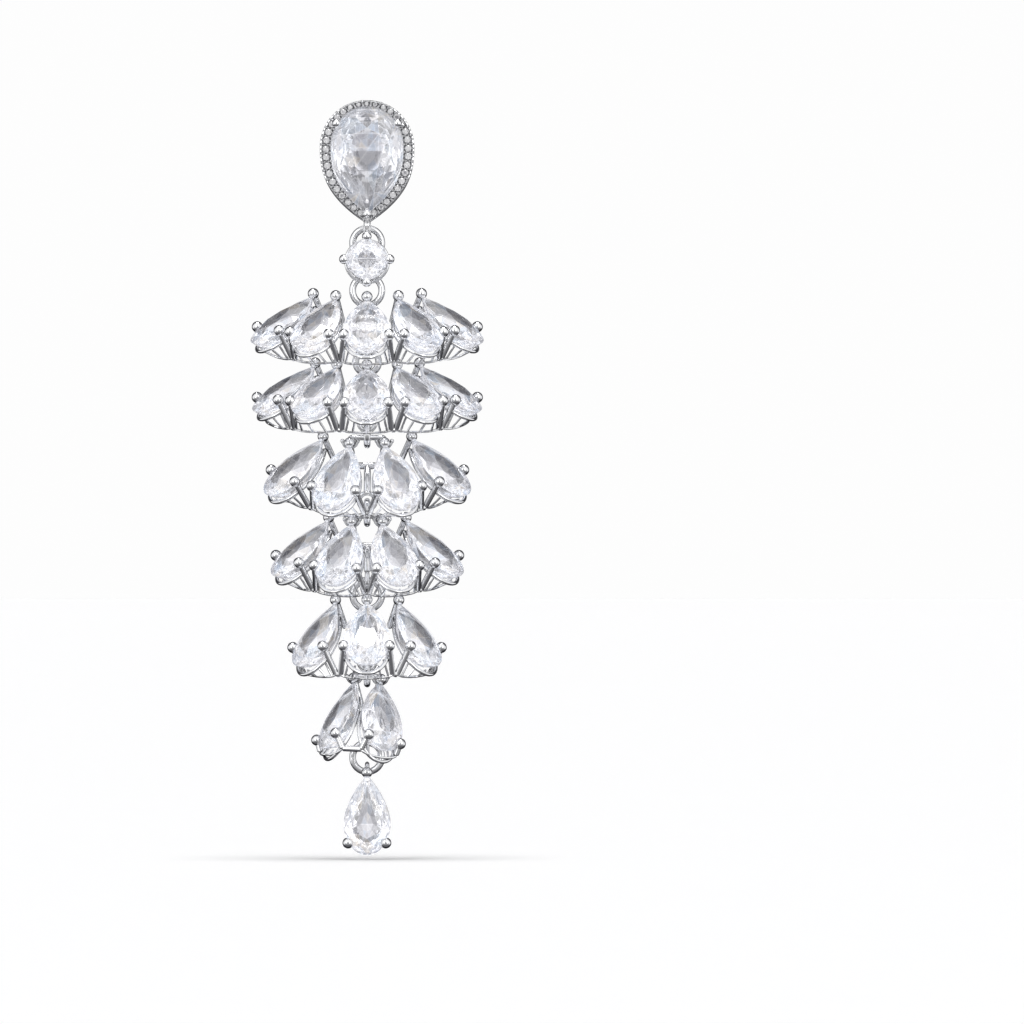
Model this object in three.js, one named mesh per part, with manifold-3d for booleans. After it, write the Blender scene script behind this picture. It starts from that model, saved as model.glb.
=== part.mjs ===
// A chandelier earring: a pear halo stud, a small round link, six curved tiers of pear-cut stones, a pear drop.
// Millimetres, +Z up, seen from -Y. The origin is on the back of the stud, where its ear post starts.
import * as THREE from 'three';
import { mergeVertices } from 'three/addons/utils/BufferGeometryUtils.js';
import { ConvexGeometry } from 'three/addons/geometries/ConvexGeometry.js';
import Module from 'manifold-3d';

// The big stone of the stud
const MAIN_LENGTH = 9.3;
const MAIN_WIDTH = 6.2;
const MAIN_FULLNESS = 2.5;

// The pear stones of the tiers and of the drop
const PEAR_LENGTH = 7;
const PEAR_WIDTH = 4;
const PEAR_FULLNESS = 2.1;
const DROP_FULLNESS = 1.75;

// The round stone of the link
const ROUND_WIDTH = 3.5;

// What every cut shares, as shares of the stone's length or width
const HEAD_SHARE = 0.385;
const TABLE_SHARE = 0.55;
const CROWN_SHARE = 0.15;
const MID_CROWN_SHARE = 0.84;
const MID_CROWN_HEIGHT_SHARE = 0.55;
const PAVILION_SHARE = 0.4;
const MID_PAVILION_SHARE = 0.55;
const MID_PAVILION_DEPTH_SHARE = 0.6;
const GIRDLE_CORNERS = 16;

// Settings
const SEAT_CORNERS = 12;
const SEAT_CLEARANCE = 0.12;
const SEAT_TABLE_SHARE = 0.64;
const SEAT_WAIST_SHARE = 0.6;
const PRONG_RADIUS = 0.47;
const PRONG_RISE = 0.12;
const POST_RADIUS = 0.27;
const POST_LENGTH = 2.6;
const POST_LEAN = 25;
const RAIL_WIDTH = 0.42;
const RAIL_THICKNESS = 0.36;
const RAIL_CORNERS = 8;
const SEAT_RAIL_DEPTH = 0.75;
const SPINE_RADIUS = 0.3;
const BAR_RADIUS = 0.25;
const APEX_REACH = 0.2;
const PRONG_REACH = 0.06;

// Jump rings and the loops that they run through
const RING_WIRE = 0.6;
const LOOP_WIRE = 0.42;
const LOOP_HOLE = 1;
const BAIL_HOLE = 1.3;
const LINK_GAP = 0.1;
const WIRE_SIDES = 5;
const RING_SIDES = 12;
const LOOP_SIDES = 10;
const PRONG_SIDES = 6;
const BALL_WIDEST_ANGLE = 0.25;
const SIMPLER_BY = 0.05;

// Stud
const STUD_DEPTH = 3.1;
const STUD_TAPER = 0.8;
const STUD_WAIST_SHARE = 0.55;
const GALLERY_LEDGE = 0.5;
const HALO_LENGTH = 10.5;
const HALO_WIDTH = 8.1;
const HALO_STONES = 36;
const HALO_DROP = 0.12;
const HALO_CORNERS = 28;
const ROW_CORNERS = 240;
const PAVE_WIDTH = 0.56;
const PAVE_TOP_WIDTH = 0.32;
const PAVE_RISE = 0.16;
const STUD_PRONG_RADIUS = 0.34;
const MAIN_CENTRE_HEIGHT = -1.06;
const BAIL_WIDTH = 0.7;
const BAIL_DROP = 0.57;
const BAIL_HOLE_HEIGHT = MAIN_CENTRE_HEIGHT - HALO_DROP - HALO_LENGTH / 2 - BAIL_DROP;
const BACK_BAR_WIDTH = 1.6;
const BACK_BAR_THICKNESS = 0.5;

// Ear post
const POST_PIN_RADIUS = 0.4;
const POST_PIN_LENGTH = 10.5;
const POST_FOOT_RADIUS = 1.1;
const POST_FOOT_THICKNESS = 0.35;
const POST_GAP = 0.1;

// Hanging line: the depth at which every ring hangs, and the sizes of the rings along it
const HANG_DEPTH = -2.2;
const FACE_RING_WIDTH = 3.15;
const HANG_SETBACK = 1.3;
const BAR_SETBACK = 0.3;

// Round link
const LINK_DROP = 0.2;
const LINK_FRONT = 2.6;
const LINK_BASE_DEPTH = 1.9;
const LINK_TOP_DEPTH = 1.3;
const LINK_HOLE_PITCH = 1.6;
const LINK_PRONG_RADIUS = 0.43;

// Last drop
const DROP_GRIP = 2.45;
const DROP_FRONT = 1.5;
const DROP_BASE_DEPTH = 1.5;
const DROP_APEX_DEPTH = 0.8;

// Tiers, from the top: stones, degrees between them, radius of the apex prongs and of the lower prongs, tilt of
// the stones from upright, the tier's forward pitch, turn, roll and sideways shift, the ring above it, whether it
// hangs by a loop or a bar, the height of the apex prongs over that, the drop to its lower hole, and the plane of
// its lower loop
const TIERS = [
  { stones: 5, step: 30, apex: 5.4, foot: 9.9, tilt: 57.5, pitch: 6.6, yaw: 0, roll: 0,
    shift: 0, ring: 3.15, hang: 'loop', top: -0.8, drop: 3.95, footLoop: 'side' },
  { stones: 5, step: 30, apex: 5.2, foot: 9.95, tilt: 58, pitch: 4.5, yaw: 0, roll: 0,
    shift: 0, ring: 2.6, hang: 'loop', top: -0.75, drop: 4.3, footLoop: 'face' },
  { stones: 4, step: 39, apex: 4.48, foot: 8.57, tilt: 54.3, pitch: 17.5, yaw: 0, roll: 0,
    shift: 0, ring: 2.55, hang: 'bar', top: 0.45, drop: 5.55, footLoop: 'face' },
  { stones: 4, step: 39, apex: 3.9, foot: 8.09, tilt: 52, pitch: 11, yaw: 0, roll: 0,
    shift: 0, ring: 2.55, hang: 'bar', top: 0.45, drop: 5.58, footLoop: 'side' },
  { stones: 3, step: 48, apex: 3.63, foot: 6.83, tilt: 37.5, pitch: -2.9, yaw: 0, roll: 0,
    shift: 0, ring: 3.15, hang: 'loop', top: -0.75, drop: 4.57, footLoop: 'face' },
  { stones: 2, step: 90, apex: 1.65, foot: 3.62, tilt: 18.5, pitch: -18, yaw: -15, roll: 7,
    shift: 0.35, ring: 2.55, hang: 'bar', top: 0.3, drop: 5.75, footLoop: 'side' },
];

const wasm = await Module();
wasm.setup();

const metal = new THREE.MeshStandardMaterial({ color: 0xd9dbde, metalness: 1, roughness: 0.08 });
const crystal = new THREE.MeshStandardMaterial({ color: 0xeceef4, metalness: 0, roughness: 0.02 });

const earring = new THREE.Group();
const radians = THREE.MathUtils.degToRad;
const vector = (x, y, z) => new THREE.Vector3(x, y, z);

// Turns a closed three.js geometry into a solid that can be joined and cut.
function solid(geometry) {
  const plain = geometry.index ? geometry.toNonIndexed() : geometry.clone();
  plain.deleteAttribute('normal');
  plain.deleteAttribute('uv');
  const merged = mergeVertices(plain, 1e-4);
  const corners = merged.index.array;
  const triangles = [];
  for (let i = 0; i < corners.length; i += 3) {
    const [a, b, c] = corners.slice(i, i + 3);
    if (a !== b && b !== c && c !== a) triangles.push(a, b, c);
  }
  return new wasm.Manifold(new wasm.Mesh({
    numProp: 3,
    vertProperties: new Float32Array(merged.attributes.position.array),
    triVerts: new Uint32Array(triangles),
  }));
}

// Turns a solid back into a flat-shaded geometry.
function geometryOf(body) {
  const mesh = body.simplify(SIMPLER_BY).getMesh();
  const geometry = new THREE.BufferGeometry();
  geometry.setAttribute('position', new THREE.BufferAttribute(mesh.vertProperties, 3));
  geometry.setIndex(new THREE.BufferAttribute(mesh.triVerts, 1));
  const flat = geometry.toNonIndexed();
  flat.computeVertexNormals();
  return flat;
}

function join(bodies) {
  return bodies.reduce((whole, body) => whole.add(body));
}

function addPiece(name, geometry, material) {
  const piece = new THREE.Mesh(geometry, material);
  piece.name = name;
  earring.add(piece);
}

// Half-width of a pear at a place along its length, 0 in the middle and positive towards the point.
function halfWidthAt(cut, along) {
  const head = cut.length * HEAD_SHARE;
  const widest = head - cut.length / 2;
  if (along > widest) {
    const share = (along - widest) / (cut.length / 2 - widest);
    return cut.width / 2 * (1 - share ** cut.fullness);
  }
  return cut.width / 2 * Math.sqrt(Math.max(0, 1 - ((widest - along) / head) ** 2));
}

// The outline of a pear with its point up, from the point round to the left. Its round end is half an ellipse.
function pearOutline(cut, corners, grow) {
  const head = cut.length * HEAD_SHARE;
  const widest = head - cut.length / 2;
  const flank = cut.length / 2 - widest;
  const points = [];
  for (let i = 0; i < corners; i += 1) {
    const turn = 2 * Math.PI * i / corners;
    const rise = Math.cos(turn);
    const along = rise > 0 ? widest + flank * (1 - (1 - rise) ** 0.85) : widest + head * rise;
    const side = turn > Math.PI ? 1 : -1;
    const across = side * halfWidthAt(cut, along);
    points.push(new THREE.Vector2(across * (1 + grow * 2 / cut.width),
      (along - widest) * (1 + grow * 2 / cut.length) + widest));
  }
  return points;
}

function roundOutline(cut, corners, grow) {
  const points = [];
  for (let i = 0; i < corners; i += 1) {
    const turn = 2 * Math.PI * i / corners;
    points.push(new THREE.Vector2(-Math.sin(turn), Math.cos(turn)).multiplyScalar(cut.width / 2 + grow));
  }
  return points;
}

const outlineOf = (cut, corners, grow) => (cut.round ? roundOutline : pearOutline)(cut, corners, grow);

// Shrinks an outline towards the middle of its round end.
function shrunk(cut, points, share, height) {
  const centre = cut.round ? 0 : cut.length * (HEAD_SHARE - 0.5);
  return points.map((p) => vector(p.x * share, (p.y - centre) * share + centre, height));
}

// A faceted stone lying in XY with its table up: table, crown, girdle, pavilion and culet.
function stoneGeometry(cut) {
  const crown = cut.width * CROWN_SHARE;
  const pavilion = cut.width * PAVILION_SHARE;
  const edge = outlineOf(cut, GIRDLE_CORNERS, 0);
  const main = edge.filter((_, i) => i % 2 === 0);
  const between = edge.filter((_, i) => i % 2 === 1);
  return new ConvexGeometry([
    ...shrunk(cut, main, TABLE_SHARE, crown),
    ...shrunk(cut, between, MID_CROWN_SHARE, crown * MID_CROWN_HEIGHT_SHARE),
    ...shrunk(cut, edge, 1, 0),
    ...shrunk(cut, between, MID_PAVILION_SHARE, -pavilion * MID_PAVILION_DEPTH_SHARE),
    shrunk(cut, [new THREE.Vector2(0, cut.round ? 0 : cut.length * (HEAD_SHARE - 0.5))], 1, -pavilion)[0],
  ]);
}

// The room that a stone needs in its setting: its outline with a little clearance, above and below the girdle.
function seatGeometry(cut) {
  const edge = outlineOf(cut, SEAT_CORNERS, SEAT_CLEARANCE);
  const crown = cut.width * CROWN_SHARE + SEAT_CLEARANCE;
  const pavilion = cut.width * PAVILION_SHARE + SEAT_CLEARANCE;
  const culet = new THREE.Vector2(0, cut.round ? 0 : cut.length * (HEAD_SHARE - 0.5));
  return new ConvexGeometry([
    ...shrunk(cut, edge.filter((_, i) => i % 2 === 0), SEAT_TABLE_SHARE, crown),
    ...shrunk(cut, edge, 1, 0),
    ...shrunk(cut, edge.filter((_, i) => i % 2 === 1), SEAT_WAIST_SHARE, -pavilion * MID_PAVILION_DEPTH_SHARE),
    ...shrunk(cut, [culet], 1, -pavilion),
  ]);
}

// A prong: a post that ends in a ball, turned in one piece. `at` is the middle of the ball.
function prong(at, foot, radius) {
  const length = at.distanceTo(foot);
  const onBall = (angle) => new THREE.Vector2(Math.cos(angle), Math.sin(angle)).multiplyScalar(radius);
  const profile = [
    new THREE.Vector2(0, -length),
    new THREE.Vector2(POST_RADIUS, -length),
    onBall(-Math.acos(POST_RADIUS / radius)),
    onBall(BALL_WIDEST_ANGLE),
    new THREE.Vector2(0, radius),
  ];
  const geometry = new THREE.LatheGeometry(profile, PRONG_SIDES);
  const axis = at.clone().sub(foot).normalize();
  geometry.applyQuaternion(new THREE.Quaternion().setFromUnitVectors(vector(0, 1, 0), axis));
  return solid(geometry.translate(at.x, at.y, at.z));
}

function rod(from, to, radius, sides = 5) {
  const along = to.clone().sub(from);
  const geometry = new THREE.CylinderGeometry(radius, radius, along.length(), sides);
  const turn = new THREE.Quaternion().setFromUnitVectors(vector(0, 1, 0), along.clone().normalize());
  geometry.applyQuaternion(turn);
  const middle = from.clone().add(to).multiplyScalar(0.5);
  return solid(geometry.translate(middle.x, middle.y, middle.z));
}

// A ring of wire: 'face' lies in the XZ plane, 'side' in the YZ plane.
function wireRing(at, width, wire, plane, sides) {
  const geometry = new THREE.TorusGeometry((width - wire) / 2, wire / 2, WIRE_SIDES, sides);
  if (plane === 'face') geometry.rotateX(Math.PI / 2);
  if (plane === 'side') geometry.rotateY(Math.PI / 2);
  return geometry.translate(at.x, at.y, at.z);
}

const loop = (at, plane) => solid(wireRing(at, LOOP_HOLE + LOOP_WIRE * 2, LOOP_WIRE, plane, LOOP_SIDES));

// A flat rail that follows a stone's outline, its top face at the given height.
function rail(cut, share, height, shift) {
  const outer = shrunk(cut, outlineOf(cut, RAIL_CORNERS, 0), share, 0);
  const grow = 1 - RAIL_WIDTH / (cut.width * share / 2);
  const centre = cut.round ? 0 : cut.length * (HEAD_SHARE - 0.5);
  const inner = outer.map((p) => new THREE.Vector2(p.x * grow, (p.y - centre) * grow + centre));
  const shape = new THREE.Shape(outer.map((p) => new THREE.Vector2(p.x, p.y)));
  shape.holes.push(new THREE.Path(inner));
  const geometry = new THREE.ExtrudeGeometry(shape, { depth: RAIL_THICKNESS, bevelEnabled: false });
  return solid(geometry.translate(0, shift, height - RAIL_THICKNESS));
}

// A basket for one stone, in the stone's own frame: prongs, and the seat rail that they carry under the stone.
// The posts lean by `lean` degrees from the stone's normal, towards its round end, and go down by `depths`.
// Also returns where the posts end.
function basket(cut, grips, lean, depths, prongRadius) {
  const down = vector(0, -Math.sin(radians(lean)), -Math.cos(radians(lean)));
  const feet = grips.map((at, i) => at.clone().addScaledVector(down, depths[i]));
  const bodies = grips.map((at, i) => prong(at, feet[i], prongRadius));
  const wide = 1 + 2 * PRONG_REACH / cut.width;
  bodies.push(rail(cut, wide, -SEAT_RAIL_DEPTH, -SEAT_RAIL_DEPTH * Math.tan(radians(lean))));
  return { bodies, feet };
}

// Where three prongs grip a pear: its point, and both sides of its round end, `grip` below its middle.
function pearGrips(cut, grip) {
  const along = -grip;
  const across = halfWidthAt(cut, along) + PRONG_REACH;
  return [
    vector(0, cut.length / 2 + APEX_REACH, PRONG_RISE),
    vector(across, along, PRONG_RISE),
    vector(-across, along, PRONG_RISE),
  ];
}

// Upright pear stone seen from the front: its local X, Y, Z become X, Z and -Y.
function facing(at) {
  return new THREE.Matrix4().makeBasis(vector(1, 0, 0), vector(0, 0, 1), vector(0, -1, 0)).setPosition(at);
}

const mainCut = { length: MAIN_LENGTH, width: MAIN_WIDTH, fullness: MAIN_FULLNESS };
const haloCut = { length: HALO_LENGTH, width: HALO_WIDTH, fullness: MAIN_FULLNESS };
const haloRow = {
  length: (MAIN_LENGTH + HALO_LENGTH) / 2,
  width: (MAIN_WIDTH + HALO_WIDTH) / 2,
  fullness: MAIN_FULLNESS,
};
const tierCut = { length: PEAR_LENGTH, width: PEAR_WIDTH, fullness: PEAR_FULLNESS };
const dropCut = { length: PEAR_LENGTH, width: PEAR_WIDTH, fullness: DROP_FULLNESS };
const roundCut = { width: ROUND_WIDTH, round: true };

// Places a solid with a three.js matrix.
const placed = (body, matrix) => body.transform(matrix.elements);

function addStone(name, cut, matrix) {
  addPiece(name, stoneGeometry(cut).applyMatrix4(matrix), crystal);
}

// Joins a setting's pieces and cuts the seats of its stones out of them.
function addSetting(name, bodies, seats) {
  const frame = join(bodies);
  addPiece(name, geometryOf(seats.reduce((left, seat) => left.subtract(seat), frame)), metal);
}

// Hangs a jump ring in the middle of a hole and gives the height of the wire at its foot.
function hangRing(number, holeHeight, width, plane) {
  const reach = width - RING_WIRE;
  const at = vector(0, HANG_DEPTH, holeHeight - reach / 2);
  addPiece(`jump_ring_${number}`, wireRing(at, width, RING_WIRE, plane, RING_SIDES), metal);
  return holeHeight - reach;
}

const barOver = (wireHeight) => wireHeight + RING_WIRE / 2 + BAR_RADIUS + LINK_GAP;

// A closed body that widens from its back outline and then runs straight to its front outline.
function wall(cut, grow, depth, corners) {
  const edge = outlineOf(cut, corners, grow);
  return solid(new ConvexGeometry([
    ...shrunk(cut, edge, STUD_TAPER, 0),
    ...shrunk(cut, edge, 1, depth * STUD_WAIST_SHARE),
    ...shrunk(cut, edge, 1, depth),
  ]));
}

// The halo's stones: little domes in a row round the rim, fused to it.
function haloStones(rim) {
  const row = outlineOf(haloRow, ROW_CORNERS, 0);
  const curve = new THREE.CatmullRomCurve3(row.map((p) => vector(p.x, p.y + HALO_DROP / 2, 0)), true);
  return curve.getSpacedPoints(HALO_STONES).slice(0, HALO_STONES).map((at) => {
    const dome = new THREE.CylinderGeometry(PAVE_TOP_WIDTH / 2, PAVE_WIDTH / 2, PAVE_RISE * 2, 5);
    return solid(dome.rotateX(Math.PI / 2).translate(at.x, at.y, rim));
  });
}

// The stud: halo head with its gallery wall, back bar, prongs and bail. Its stone points down.
function buildStud() {
  const upside = new THREE.Matrix4().makeBasis(vector(-1, 0, 0), vector(0, 0, -1), vector(0, -1, 0));
  const middle = MAIN_CENTRE_HEIGHT;
  const matrix = upside.clone().setPosition(0, 0, middle);
  const stoneMatrix = upside.clone().setPosition(0, -STUD_DEPTH, middle);
  const head = wall(haloCut, 0, STUD_DEPTH, HALO_CORNERS).translate(0, HALO_DROP, 0);
  const open = wall(mainCut, -GALLERY_LEDGE, STUD_DEPTH + 1, GIRDLE_CORNERS).translate(0, 0, -0.5);
  const backBar = solid(new THREE.BoxGeometry(MAIN_WIDTH, BACK_BAR_WIDTH, BACK_BAR_THICKNESS)
    .translate(0, middle, BACK_BAR_THICKNESS / 2));
  const grips = [
    vector(0, mainCut.length / 2 + 0.12, 0.1),
    vector(-MAIN_WIDTH * 0.43, -MAIN_LENGTH * 0.335, 0.1),
    vector(MAIN_WIDTH * 0.43, -MAIN_LENGTH * 0.335, 0.1),
  ];
  const prongs = grips.map((at) => prong(vector(at.x, at.y, at.z + STUD_DEPTH),
    vector(at.x, at.y, STUD_DEPTH / 2), STUD_PRONG_RADIUS));
  const front = [head.subtract(open), backBar, ...haloStones(STUD_DEPTH), ...prongs];
  const bailMiddle = (BAIL_HOLE + LOOP_WIRE) / 2;
  const bail = new THREE.TorusGeometry(bailMiddle, LOOP_WIRE / 2, WIRE_SIDES, LOOP_SIDES)
    .scale(1, 1, BAIL_WIDTH / LOOP_WIRE).rotateY(Math.PI / 2).translate(0, HANG_DEPTH, BAIL_HOLE_HEIGHT);
  const neck = rod(vector(0, HANG_DEPTH, middle - MAIN_LENGTH / 2),
    vector(0, HANG_DEPTH, BAIL_HOLE_HEIGHT + bailMiddle), BAIL_WIDTH / 2, 8);
  addSetting('stud_setting', [placed(join(front), matrix), solid(bail), neck],
    [placed(solid(seatGeometry(mainCut)), stoneMatrix)]);
  addStone('stud_stone', mainCut, stoneMatrix);
}

function buildEarPost() {
  const foot = new THREE.CylinderGeometry(POST_FOOT_RADIUS, POST_FOOT_RADIUS, POST_FOOT_THICKNESS, 12);
  const pin = new THREE.CylinderGeometry(POST_PIN_RADIUS, POST_PIN_RADIUS, POST_PIN_LENGTH, 10);
  const post = solid(foot.translate(0, POST_FOOT_THICKNESS / 2, 0))
    .add(solid(pin.translate(0, POST_PIN_LENGTH / 2, 0)));
  addPiece('ear_post', geometryOf(post.translate(0, POST_GAP, 0)), metal);
}

// The round link: four prongs on a base rail, with two loops soldered behind it.
function buildRoundLink(holeHeight) {
  const middle = vector(0, HANG_DEPTH - LINK_FRONT, holeHeight - LINK_DROP);
  const matrix = facing(middle);
  const reach = ROUND_WIDTH / 2 + PRONG_REACH * 4;
  const grips = [0, 1, 2, 3].map((turn) => {
    const angle = turn * Math.PI / 2;
    return vector(Math.sin(angle) * reach, Math.cos(angle) * reach, PRONG_RISE);
  });
  const depths = [LINK_TOP_DEPTH, LINK_BASE_DEPTH, LINK_BASE_DEPTH, LINK_BASE_DEPTH];
  const { bodies, feet } = basket(roundCut, grips, 0, depths, LINK_PRONG_RADIUS);
  const [, right, bottom, left] = feet.map((foot) => vector(foot.x, foot.y, foot.z + BAR_RADIUS));
  bodies.push(rod(left, right, BAR_RADIUS), rod(vector(0, 0, bottom.z), bottom, BAR_RADIUS));
  const lowerHole = holeHeight - LINK_HOLE_PITCH;
  const loops = [holeHeight, lowerHole].map((height) => loop(vector(0, HANG_DEPTH, height), 'side'));
  addSetting('round_link_setting', [placed(join(bodies), matrix), ...loops],
    [placed(solid(seatGeometry(roundCut)), matrix)]);
  addStone('round_link_stone', roundCut, matrix);
  return lowerHole;
}

// The local frame of one stone in a tier: Y points up and inward to its apex, Z out of its table.
function tierFrame(tier, azimuth) {
  const out = vector(Math.sin(azimuth), -Math.cos(azimuth), 0);
  const tilt = radians(tier.tilt);
  const across = vector(Math.cos(azimuth), Math.sin(azimuth), 0);
  const along = out.clone().multiplyScalar(-Math.sin(tilt)).add(vector(0, 0, Math.cos(tilt)));
  const normal = across.clone().cross(along);
  const apex = out.clone().multiplyScalar(tier.apex);
  const toApex = along.clone().multiplyScalar(PEAR_LENGTH / 2 + APEX_REACH)
    .addScaledVector(normal, PRONG_RISE);
  return new THREE.Matrix4().makeBasis(across, along, normal).setPosition(apex.clone().sub(toApex));
}

// One tier: baskets side by side on an arc that is open behind, the loop or bar that it hangs by, and the spine
// that carries the loop for the next ring. `height` is that of its top hole or bar.
function buildTier(number, tier, height) {
  const reach = (tier.foot - tier.apex) / Math.sin(radians(tier.tilt));
  const azimuths = Array.from({ length: tier.stones },
    (_, i) => radians((i - (tier.stones - 1) / 2) * tier.step + tier.yaw));
  const grips = pearGrips(tierCut, reach - APEX_REACH - PEAR_LENGTH / 2);
  const lean = 90 - POST_LEAN - tier.tilt;
  const { bodies, feet } = basket(tierCut, grips, lean, Array(3).fill(POST_LENGTH), PRONG_RADIUS);
  const one = join(bodies);
  const frames = azimuths.map((azimuth) => tierFrame(tier, azimuth));
  const centred = tier.hang === 'loop';
  const inner = centred ? [(tier.stones - 1) / 2] : [tier.stones / 2 - 1, tier.stones / 2];
  const tips = inner.map((i) => grips[0].clone().applyMatrix4(frames[i]));
  const share = centred ? 0 : tips[0].x / (tips[0].x - tips[1].x);
  const tipDepth = centred ? tips[0].y : tips[0].y + (tips[1].y - tips[0].y) * share;
  const setback = centred ? HANG_SETBACK : BAR_SETBACK;
  const swing = new THREE.Matrix4().makeTranslation(0, HANG_DEPTH, height)
    .multiply(new THREE.Matrix4().makeRotationY(radians(tier.roll)))
    .multiply(new THREE.Matrix4().makeRotationX(radians(tier.pitch)))
    .multiply(new THREE.Matrix4().makeTranslation(tier.shift, -tipDepth - setback, -tier.top));
  const places = frames.map((frame) => swing.clone().multiply(frame));
  const metalwork = places.map((place) => placed(one, place));
  for (let i = 1; i < tier.stones; i += 1) {
    const left = feet[1].clone().applyMatrix4(places[i - 1]);
    const right = feet[2].clone().applyMatrix4(places[i]);
    metalwork.push(rod(left, right, POST_RADIUS, 4));
  }
  const innerFeet = inner.map((i) => feet[0].clone().applyMatrix4(places[i]));
  const spineTop = innerFeet.reduce((sum, at) => sum.add(at), vector(0, 0, 0)).divideScalar(inner.length);
  if (centred) {
    metalwork.push(loop(vector(0, HANG_DEPTH, height), 'side'));
  } else {
    const ends = inner.map((i) => grips[0].clone().applyMatrix4(places[i]));
    ends.forEach((end, i) => {
      const other = ends[1 - i];
      const corner = vector(end.x, HANG_DEPTH, height);
      metalwork.push(rod(end, corner, BAR_RADIUS));
      if (i === 0) metalwork.push(rod(corner, vector(other.x, HANG_DEPTH, height), BAR_RADIUS));
    });
    metalwork.push(rod(innerFeet[0], innerFeet[1], SPINE_RADIUS));
  }
  const hole = height - tier.drop;
  const loopTop = vector(0, HANG_DEPTH, hole + (LOOP_HOLE + LOOP_WIRE) / 2);
  metalwork.push(rod(vector(0, spineTop.y, spineTop.z), loopTop, SPINE_RADIUS));
  metalwork.push(loop(vector(0, HANG_DEPTH, hole), tier.footLoop));
  const seat = solid(seatGeometry(tierCut));
  addSetting(`tier_${number}_setting`, metalwork, places.map((place) => placed(seat, place)));
  places.forEach((place, i) => addStone(`tier_${number}_stone_${i + 1}`, tierCut, place));
  return hole;
}

// The last drop: an upright pear whose bail stands behind its apex prong.
function buildDrop(holeHeight) {
  const grips = pearGrips(dropCut, DROP_GRIP);
  const front = HANG_DEPTH - DROP_FRONT;
  const matrix = facing(vector(0, front, holeHeight - grips[0].y));
  const depths = [DROP_APEX_DEPTH, DROP_BASE_DEPTH, DROP_BASE_DEPTH];
  const { bodies } = basket(dropCut, grips, 0, depths, PRONG_RADIUS);
  addSetting('drop_setting', [placed(join(bodies), matrix), loop(vector(0, HANG_DEPTH, holeHeight), 'side')],
    [placed(solid(seatGeometry(dropCut)), matrix)]);
  addStone('drop_stone', dropCut, matrix);
}

// From the stud down, each ring hangs in the loop above it and carries the loop or bar below it.
buildStud();
buildEarPost();
let hole = buildRoundLink(hangRing(1, BAIL_HOLE_HEIGHT, FACE_RING_WIDTH, 'face'));
TIERS.forEach((tier, i) => {
  const plane = i === 0 || TIERS[i - 1].footLoop === 'side' ? 'face' : 'side';
  const foot = hangRing(i + 2, hole, tier.ring, plane);
  hole = buildTier(i + 1, tier, tier.hang === 'loop' ? foot : barOver(foot));
});
buildDrop(hangRing(TIERS.length + 2, hole, FACE_RING_WIDTH, 'face'));

export default earring;
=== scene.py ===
# A chandelier earring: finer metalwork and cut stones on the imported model, and a plain studio round it.
# Sizes in this file are in millimetres until a mesh is made.
import math
import random

import bmesh
import bpy
from mathutils import Matrix, Vector


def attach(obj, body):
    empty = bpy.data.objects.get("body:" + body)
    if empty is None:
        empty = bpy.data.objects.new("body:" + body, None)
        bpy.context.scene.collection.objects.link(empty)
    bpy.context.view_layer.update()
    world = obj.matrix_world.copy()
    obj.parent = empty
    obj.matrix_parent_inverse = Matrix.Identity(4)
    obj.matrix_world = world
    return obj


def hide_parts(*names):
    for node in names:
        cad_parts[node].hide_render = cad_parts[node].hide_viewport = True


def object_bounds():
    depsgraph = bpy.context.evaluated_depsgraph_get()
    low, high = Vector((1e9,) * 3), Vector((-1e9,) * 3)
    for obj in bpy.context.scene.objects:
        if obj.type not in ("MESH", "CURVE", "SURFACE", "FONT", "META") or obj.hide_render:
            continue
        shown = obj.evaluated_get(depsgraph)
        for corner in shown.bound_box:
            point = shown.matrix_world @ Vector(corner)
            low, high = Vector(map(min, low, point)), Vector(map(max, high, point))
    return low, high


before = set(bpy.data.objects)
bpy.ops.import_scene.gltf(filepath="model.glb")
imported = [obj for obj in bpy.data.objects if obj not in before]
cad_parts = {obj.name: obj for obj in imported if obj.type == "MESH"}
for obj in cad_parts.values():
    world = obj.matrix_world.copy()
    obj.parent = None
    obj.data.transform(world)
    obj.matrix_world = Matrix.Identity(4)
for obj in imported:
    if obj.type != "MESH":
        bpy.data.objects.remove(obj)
CAD_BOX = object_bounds()

bl_info = {
    "name": "Chandelier earring",
    "version": (1, 0, 0),
    "blender": (4, 5, 0),
    "location": "View3D > Sidebar > Earring",
    "description": "Makes the polished settings, the cut stones and the studio of a chandelier earring",
    "category": "Add Mesh",
}

MM = 0.001
WHITE = (1.0, 1.0, 1.0)
BLACK = (0.0, 0.0, 0.0)

# Metal turns sharp above this angle, and facets closer than that one count as flat, in degrees
SHARP_ANGLE = 40
FLAT_ANGLE = 1.0

# Shape of the cuts, as shares of a stone's length or width
HEAD_SHARE = 0.385
CROWN_SHARE = 0.15
PAVILION_SHARE = 0.46
GEM_SPREAD = 1.03
TIP_CROWDING = 0.85
STAR_SHARE = 0.58
STAR_HEIGHT = 0.56
GIRDLE_SHARE = 0.995
CULET_SHARE = 0.985
TABLE_SLACK = 1e-4
# Rows of facet corners under a stone: corners, which of each two is kept, and shares of outline and depth
PAVILION_ROWS = ((32, 1, 0.88, 0.34), (24, 0, 0.72, 0.6), (24, 1, 0.48, 0.8), (16, 0, 0.24, 0.93))

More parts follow.
